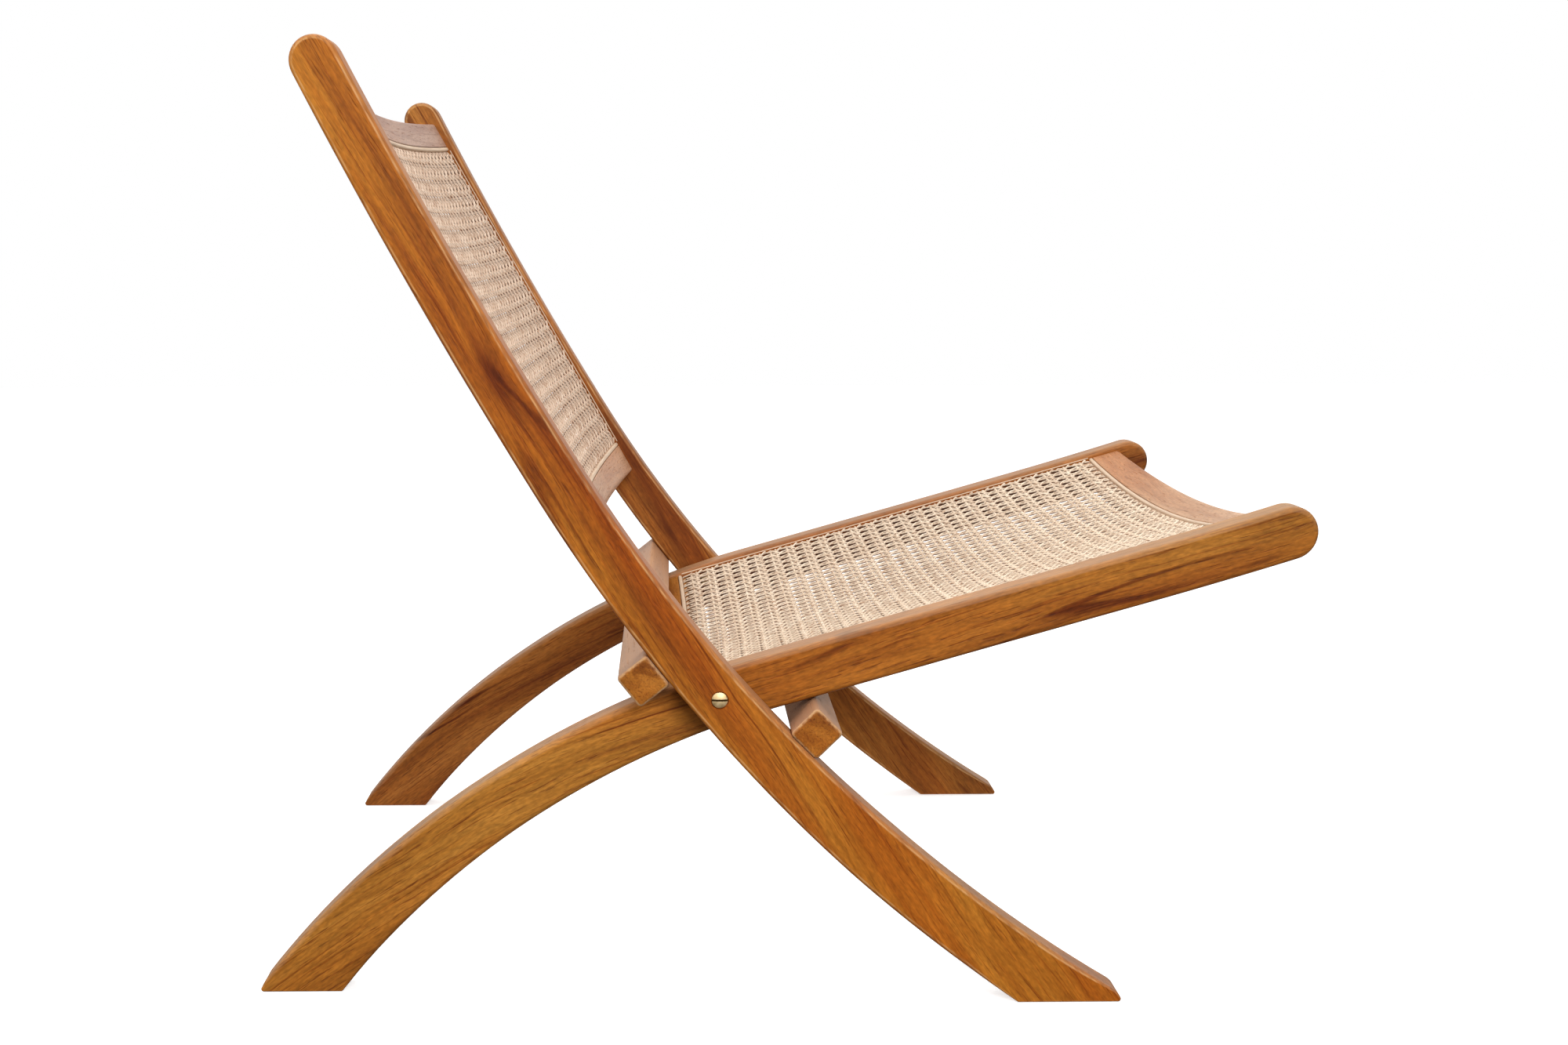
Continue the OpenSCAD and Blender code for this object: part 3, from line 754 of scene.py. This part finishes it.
def ways_in(loop):
    """The way into the rail at each point of its outline."""
    count = len(loop)
    area = sum(loop[i - 1].x * loop[i].z - loop[i].x * loop[i - 1].z for i in range(count))
    ways = []
    for i in range(count):
        along = (loop[(i + 1) % count] - loop[i]).normalized() \
            + (loop[i] - loop[i - 1]).normalized()
        way = Vector((-along.z, 0, along.x)).normalized()
        ways.append(way if area > 0 else -way)
    return ways


def ease_at(p, end, general, at_end):
    """How round an edge is at p: finer at the foot, and fuller at the rounded end."""
    end_reach = 75 * mm
    end_slope = 1.5
    foot_height = 2 * mm
    foot_reach = 26 * mm
    near_end = min(1, max(0, end_slope - end_slope * (p - end).length / end_reach))
    above_foot = min(1, max(0, (p.z - foot_height) / foot_reach))
    full = general + (at_end - general) * near_end
    return foot_ease + (full - foot_ease) * above_foot


def eased_rings(loop, ways, side, face, out, radii):
    """Rings that round the edge of one face of a rail, from the face to its sides."""
    rings = []
    for step in range(ease_steps + 1):
        turn = math.radians(90 - 90 * step / ease_steps)
        rings.append([Vector((p.x, side * (face - out * (r - r * math.sin(turn))), p.z))
                      + way * (r - r * math.cos(turn))
                      for p, way, r in zip(loop, ways, radii)])
    return rings


def mark_wear_and_painted_light(piece, ways, rub_and_highlight):
    """Marks how worn a rail's edges are, with a painted highlight, and where painted light
    falls on its top.
    """
    rubbed = piece.data.attributes.new("rubbed", "FLOAT", "POINT")
    sunned = piece.data.attributes.new("sunned", "FLOAT", "POINT")
    rub_and_highlight_by_step = (0, 1, 0.2, 0, 0, 0)           # worn, with a painted highlight, most where the rounding meets the face
    steps = [*range(ease_steps + 1), *reversed(range(ease_steps + 1))]
    for i, step in enumerate(steps):
        for k, way in enumerate(ways):
            # worn edge with a painted highlight
            rubbed.data[i * len(ways) + k].value = rub_and_highlight * rub_and_highlight_by_step[step]
            # how much painted light falls on an upward face
            sunned.data[i * len(ways) + k].value = max(0, -way.z) * step / ease_steps


def sink_head(piece, y):
    """Cuts the round recess of a bolt or nut head into the face at y."""
    depth = 1.8 * mm
    radius = 6.3 * mm
    let_go()
    bpy.ops.mesh.primitive_cylinder_add(
        vertices=64, radius=radius, depth=2 * depth, location=(pivot.x, y, pivot.z),
        rotation=(math.pi / 2, 0, 0))
    cutter = bpy.context.object
    pick(piece)
    cut = piece.modifiers.new("recess", "BOOLEAN")
    cut.operation = "DIFFERENCE"
    cut.solver = "EXACT"
    cut.object = cutter
    bpy.ops.object.modifier_apply(modifier=cut.name)
    bpy.data.objects.remove(cutter, do_unlink=True)


def make_rail(node, material, body, inner, outer, end, recess, easing, rub_and_highlight):
    """A rail between two faces, with eased edges and a recess in one face."""
    loop = side_outline(node, outer)
    ways = ways_in(loop)
    side = 1 if loop[0].y > 0 else -1
    outside = [ease_at(p, end, easing, outer_end_ease) for p in loop]
    inside = [ease_at(p, end, easing, inner_end_ease) for p in loop]
    rings = eased_rings(loop, ways, side, outer, 1, outside) \
        + eased_rings(loop, ways, side, inner, -1, inside)[::-1]
    piece = skin(node + "_eased", rings)
    mark_wear_and_painted_light(piece, ways, rub_and_highlight)
    sink_head(piece, side * recess)
    smooth(piece)
    dress(piece, material, body, "teak_rail", node)


def make_back_rails():
    top = pivot + Vector((-247.7, 0, 423.5)) * mm
    knot_place = (266.6 * mm, -15.8 * mm)
    for side, seed, tones, knot in (("left", 3.1, russet, None),
                                    ("right", 14.9, honey, knot_place)):
        wood = teak("teak back rail " + side, heading(121), heading(31), seed, tones,
                    figure=0.75, bow=-0.13, knot=knot, heart=(0, 11 * mm), panel=back_panel)
        make_rail("back_rail_" + side, wood, "back_frame", back_in, back_out, end=top,
                  recess=back_out, easing=3.4 * mm, rub_and_highlight=1.0)


def make_seat_rails():
    front = pivot + Vector((403, 0, 110.5)) * mm
    for side, seed, tones in (("left", 23.9, umber_and_shade), ("right", 37.3, golden)):
        wood = teak("teak seat rail " + side, heading(17), heading(107), seed, tones,
                    figure=1.0, bow=0.48, panel=seat_panel)
        make_rail("seat_rail_" + side, wood, "seat_frame", seat_in, seat_out, end=front,
                  recess=seat_in, easing=4.2 * mm, rub_and_highlight=0.1)


# Stop bars, crossrails and splines

def make_stop_bars():
    """Square bars with eased long edges and ends."""
    scrap = 20 * mm * mm

    def is_bar_edge(edge):
        return is_sharp(edge, 80) and not any(
            len(face.verts) < 4 or face.calc_area() < scrap for face in edge.link_faces)

    for node, seed in (("rear_stop_bar", 5.3), ("front_stop_bar", 8.9)):
        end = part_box(node)[1][1]
        wood = teak("teak " + node.replace("_", " "), across, heading(70), seed, golden,
                    figure=0.6, end=end)
        piece = turned_from(node, node + "_eased")
        round_over(piece, 3.2 * mm, is_bar_edge, segments=4)
        smooth(piece)
        dress(piece, wood, "back_frame", "teak_bar", node)


def sweep_across(name, section, panel, far, half):
    """A scooped piece along the near or far edge of a panel. section(share) gives its
    section as (outward, up) points, for a share that is 0 at the rails and 1 between."""
    rings = []
    steps = 36
    for i in range(steps + 1):
        y = half * (2 * i / steps - 1)
        share = 1 - (y / half) ** 2
        rings.append([panel.start + panel.forward * (panel.length + x if far else -x)
                      + panel.out * (z - panel.sag * share) + Vector((0, y, 0))
                      for x, z in section(share)])
    return skin(name, rings)


def make_crossrail(node, material, panel, far, face, bow, rim):
    """A scooped crossrail, rebated for the cane. face and bow give its outer face at the
    rails and how much further out it is at the middle. rim is the rounding of its outer
    edge at the rails, at the middle, and below."""
    at_rails, at_middle, below = rim
    deep = -22 * mm                      # the underside
    inner = -11 * mm                     # the face below the cane
    inner_round = 2 * mm
    lip = 0.1 * mm                       # near side of the spline's groove
    lip_bevel = 0.4 * mm
    bed = -4.1 * mm                      # far side of the groove, and its bottom
    ledge = -2.65 * mm                   # what the cane lies on

    def section(share):
        edge = face + bow * share
        top = at_rails + (at_middle - at_rails) * share
        return (rounded_corner(inner + inner_round, deep + inner_round, inner_round,
                               180, 270, 3)
                + rounded_corner(edge - below, deep + below, below, 270, 360, 5)
                + rounded_corner(edge - top, -top, top, 0, 90, 8)
                + [(lip + lip_bevel, 0), (lip, -lip_bevel), (lip, bed), (bed, bed),
                   (bed, ledge), (inner, ledge)])

    piece = sweep_across(node + "_scooped", section, panel, far, panel.half)
    smooth(piece)
    dress(piece, material, panel.body, "teak_crossrail", node)


def make_cross_spline(node, material, panel, far):
    """A reed spline bedded along a crossrail, with a crowned top."""
    crown = 1.25 * mm
    foot = -4 * mm

    def section(share):
        return (rounded_corner(-1.5 * mm, -crown, crown, 10, 90, 4)
                + rounded_corner(-2.45 * mm, -crown, crown, 90, 170, 4)
                + [(foot, foot), (0, foot)])

    piece = sweep_across(node + "_crowned", section, panel, far, panel.half - 0.1 * mm)
    smooth(piece, degrees=50)
    dress(piece, material, panel.body, "reed_spline", node)


def make_crossrails():
    """The four crossrails, each with its spline."""
    back_gloss = 0.25
    seat_gloss = 0.10
    for name, spline, panel, far, face, bow, rim, tones, seed, gloss in (
            ("back_top", "back_spline_top", back_panel, True, 24, 0, (3, 3, 3), lilac_sheen, 2.2,
             back_gloss),
            ("back_lower", "back_spline_bottom", back_panel, False, 27, 0, (2, 11, 2), rosy_sheen,
             4.4, back_gloss),
            ("seat_front", "seat_spline_front", seat_panel, True, 27, 5, (5, 7, 3), peach_sheen,
             6.6, seat_gloss),
            ("seat_rear", "seat_spline_rear", seat_panel, False, 26, 0, (3, 3, 3), russet,
             8.8, seat_gloss)):
        wood = teak("teak crossrail " + name, across, panel.forward, seed, tones, 0.25,
                    gloss=gloss)
        make_crossrail(name + "_crossrail", wood, panel, far, face * mm, bow * mm,
                       [radius * mm for radius in rim])
        make_cross_spline(spline, reed("reed " + spline, across, panel.forward, seed),
                          panel, far)


def move_corners(piece, chosen, way):
    """Moves the corners that chosen(place) picks."""
    let_go()
    for part in (*piece.data.polygons, *piece.data.edges):
        part.select = False
    for corner in piece.data.vertices:
        corner.select = chosen(corner.co)
    pick(piece)
    bpy.ops.object.mode_set(mode="EDIT")
    bpy.ops.transform.translate(value=way)
    bpy.ops.object.mode_set(mode="OBJECT")


def make_side_spline(node, material, panel):
    """A thin reed strip bedded low along the inside of a rail."""
    sunk = 1.5 * mm
    thinned = 0.4 * mm
    shortest_rounded = 6 * mm
    piece = turned_from(node, node + "_rounded")
    heights = [corner.co.dot(panel.out) for corner in piece.data.vertices]
    middle = (min(heights) + max(heights)) / 2
    side = 1 if piece.data.vertices[0].co.y > 0 else -1
    reach = min(abs(corner.co.y) for corner in piece.data.vertices)
    move_corners(piece, lambda at: at.dot(panel.out) > middle, -sunk * panel.out)
    move_corners(piece, lambda at: abs(at.y) < reach + mm, Vector((0, side * thinned, 0)))
    round_over(piece, 0.6 * mm, lambda edge: is_sharp(edge, 60)
               and edge.calc_length() > shortest_rounded, segments=3)
    smooth(piece, degrees=60)
    dress(piece, material, panel.body, "reed_spline", node)


def make_side_splines():
    for panel in (back_panel, seat_panel):
        for side in ("left", "right"):
            node = panel.name + "_spline_" + side
            strip = reed("reed " + node, panel.forward, across, seed=3.3)
            make_side_spline(node, strip, panel)


# Bolts, nuts, dowels and washers

def make_bolts_and_nuts():
    """Turned brass, with the edges of each head and slot just broken."""
    metal = brass()
    for side in ("left", "right"):
        for node in ("pivot_bolt_" + side, "pivot_nut_" + side):
            piece = turned_from(node, node + "_turned")
            round_over(piece, 0.12 * mm, lambda edge: is_sharp(edge, 30), segments=2)
            smooth(piece, degrees=35)
            dress(piece, metal, "back_frame", "brass_hardware", node)


def dress_hidden_pieces():
    """The dowels and washers keep their shape and get a better finish."""
    for names, material in ((("back_dowels", "stop_bar_dowels", "seat_dowels"), beech()),
                            (("pivot_washer_left", "pivot_washer_right"), nylon())):
        for name in names:
            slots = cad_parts[name].data.materials
            slots.clear()
            slots.append(material)


# Woven cane

mesh_pitch = 15.8 * mm                   # from one large hole of the cane to the next
strand_width = 2.8 * mm
diagonal_width = 3.2 * mm
pair_gap = 4.9 * mm                      # between the middles of two paired strands
over = 0.58 * mm                         # rise of a strand as it crosses another
diagonal_over = 0.95 * mm
level = 1.25 * mm                        # depth of the weave below the panel's edge
side_tongue = 2.6 * mm                   # how far the weave reaches into the rails
end_gap = 4.3 * mm                       # how far it stops short of the crossrails


def strand_section(width, thick):
    """The cross-section of a split strand, flat below and crowned above, and how much painted
    shade darkens it at each of its points."""
    shape = [(-0.5, -0.25), (-0.36, 0.28), (0, 0.5), (0.36, 0.28), (0.5, -0.25), (0, -0.5)]
    dark = (1, 0.3, 0, 0.3, 1, 0.2)
    return [(s * width, h * thick) for s, h in shape], dark


def strand_rings(path, number, section, place):
    """The rings of points of one strand, which drifts a little to either side."""
    bends_per_metre = 22
    apart = 0.37                         # how unlike its neighbour's drift each one's is
    most_drift = 0.35 * mm
    points = []
    for i, p in enumerate(path):
        before = path[max(0, i - 1)]
        after = path[min(len(path) - 1, i + 1)]
        way = Vector((after[0] - before[0], after[1] - before[1], 0)).normalized()
        aside = Vector((-way.y, way.x, 0))
        spot = Vector((p[0] * bends_per_metre, p[1] * bends_per_metre, number * apart))
        drift = noise.noise(spot) * most_drift
        for s, h in section:
            points.append(place(Vector(p) + aside * (s + drift) + Vector((0, 0, h))))
    return points


def weave_strands(name, paths, width, thick, place):
    """One mesh of flat strands along paths of (x, y, height) on a flat panel, laid on the
    scooped panel by place."""
    section, dark = strand_section(width, thick)
    n = len(section)
    points = []
    faces = []
    for number, path in enumerate(paths):
        first = len(points)
        points += strand_rings(path, number, section, place)
        last = len(points) - n
        for ring in range(first, last, n):
            for k in range(n):
                a = ring + k
                b = ring + (k + 1) % n
                faces.append((a, b, b + n, a + n))
        faces.append(tuple(first + k for k in reversed(range(n))))
        faces.append(tuple(last + k for k in range(n)))
    piece = new_piece(name, points, faces)
    # painted shade of each point of a strand's section
    rim = piece.data.attributes.new("rim", "FLOAT", "POINT")
    for i in range(len(points)):
        rim.data[i].value = dark[i % n]
    turn_faces_out(piece)
    bpy.ops.object.shade_smooth_by_angle(angle=math.radians(50))
    return piece


def straight_path(fixed, low, high, grid_start, sign, turn):
    """A strand along one direction: it rises and dips where it crosses each pair."""
    clear = 5.5 * mm
    k = math.floor((low - grid_start) / mesh_pitch) - 1
    path = []
    while grid_start + k * mesh_pitch < high + mesh_pitch:
        middle = grid_start + k * mesh_pitch
        for off, rise in ((-clear, 0), (-pair_gap / 2, sign), (0, 0), (pair_gap / 2, -sign),
                          (clear, 0)):
            if low <= middle + off <= high:
                path.append((middle + off, rise * over))
        k += 1
    path = [(low, 0)] + path + [(high, 0)]
    return [(fixed, along, h) if turn else (along, fixed, h) for along, h in path]


def diagonal_path(constant, direction, low, high, x0, y0):
    """A strand at 45 degrees, over one pair and under the next."""
    path = []
    rise = diagonal_over * direction
    (x_low, y_low), (x_high, y_high) = low, high
    quarter = mesh_pitch / 4
    k = math.floor((x_low - x0) / quarter) - 1
    while x0 + k * quarter < x_high + quarter:
        x = x0 + k * quarter
        y = y0 + direction * (x - x0) + constant
        if x_low <= x <= x_high and y_low <= y <= y_high:
            path.append((x, y, (rise, 0, -rise, 0)[k % 4]))
        k += 1
    return path


class Weave:
    """The flat layout of a panel's cane: x runs along the panel and y across it."""

    def __init__(self, panel):
        self.panel = panel
        self.x_low = end_gap
        self.x_high = panel.length - end_gap
        self.y_high = panel.half + side_tongue
        self.y_low = -self.y_high
        self.columns = round(panel.length / mesh_pitch)
        self.rows = round(2 * panel.half / mesh_pitch)
        self.x_first = panel.length / 2 - self.columns / 2 * mesh_pitch
        self.y_first = -self.rows / 2 * mesh_pitch

    def place(self, p):
        """Where a flat point lies on the scooped panel, tucked down at both ends."""
        tuck_depth = 1.2 * mm
        tuck_length = 4 * mm
        panel = self.panel
        outward = min(abs(p.y), panel.half) / panel.half
        dip = panel.sag * (1 - outward ** 2)
        away = min(p.x - self.x_low, self.x_high - p.x)
        tuck = tuck_depth * max(0, 1 - max(0, away) / tuck_length) ** 2
        return panel.start + panel.forward * p.x + Vector((0, p.y, 0)) \
            + panel.out * (p.z - dip - level - tuck)

    def across(self):
        paths = []
        for i in range(self.columns + 1):
            for sign in (1, -1):
                x = self.x_first + i * mesh_pitch + sign * pair_gap / 2
                if self.x_low + strand_width / 2 < x < self.x_high - strand_width / 2:
                    paths.append(straight_path(x, self.y_low, self.y_high, self.y_first,
                                               sign, True))
        return paths

    def along(self):
        paths = []
        for j in range(self.rows + 1):
            for sign in (1, -1):
                y = self.y_first + j * mesh_pitch + sign * pair_gap / 2
                if self.y_low < y < self.y_high:
                    paths.append(straight_path(y, self.x_low, self.x_high, self.x_first,
                                               -sign, False))
        return paths

    def diagonal(self, direction):
        paths = []
        reach = self.columns + self.rows + 2
        for c in range(-reach, reach):
            path = diagonal_path(c * mesh_pitch, direction, (self.x_low, self.y_low),
                                 (self.x_high, self.y_high), self.x_first + mesh_pitch / 2,
                                 self.y_first)
            if len(path) > 1:
                paths.append(path)
        return paths


def make_cane(panel, seed, thick, tint_and_shade, crosswise, flank_shade):
    """The woven cane of a panel. Its strands across are toned by crosswise, and the flanks
    of the others get painted shade, as strong as the flank shade given."""
    seed_step = 7.3
    weave = Weave(panel)
    left = Vector(across)
    rising = (panel.forward + left).normalized()
    falling = (panel.forward - left).normalized()
    cross_tint_and_shade = [c * crosswise for c in tint_and_shade]
    for label, paths, width, run, aside, own_tint_and_shade, own_flank_shade in (
            ("across", weave.across(), strand_width, left, panel.forward, cross_tint_and_shade, 1),
            ("along", weave.along(), strand_width, panel.forward, left, tint_and_shade, flank_shade),
            ("rising", weave.diagonal(1), diagonal_width, rising, falling, tint_and_shade, flank_shade),
            ("falling", weave.diagonal(-1), diagonal_width, falling, rising, tint_and_shade, flank_shade)):
        piece = weave_strands(panel.name + "_cane_" + label, paths, width, thick, weave.place)
        material = woven_cane(panel.name + " cane " + label, run, aside, seed, own_tint_and_shade,
                              own_flank_shade)
        dress(piece, material, panel.body, "woven_cane", panel.name + "_cane_panel")
        seed += seed_step


# The chair

place_camera()
light_studio()
lay_floor()
make_back_rails()
make_seat_rails()
make_stop_bars()
make_crossrails()
make_side_splines()
make_bolts_and_nuts()
dress_hidden_pieces()
# the back's cane is darkened as painted shade, as it faces away from the light
make_cane(back_panel, seed=1.7, thick=1.15 * mm, tint_and_shade=(0.87, 0.785, 0.76), crosswise=0.74,
          flank_shade=0.50)
make_cane(seat_panel, seed=41.9, thick=1.5 * mm, tint_and_shade=(0.98, 0.965, 0.945), crosswise=1,
          flank_shade=1)

[[list(corner) for corner in box] for box in (cad_box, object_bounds())]
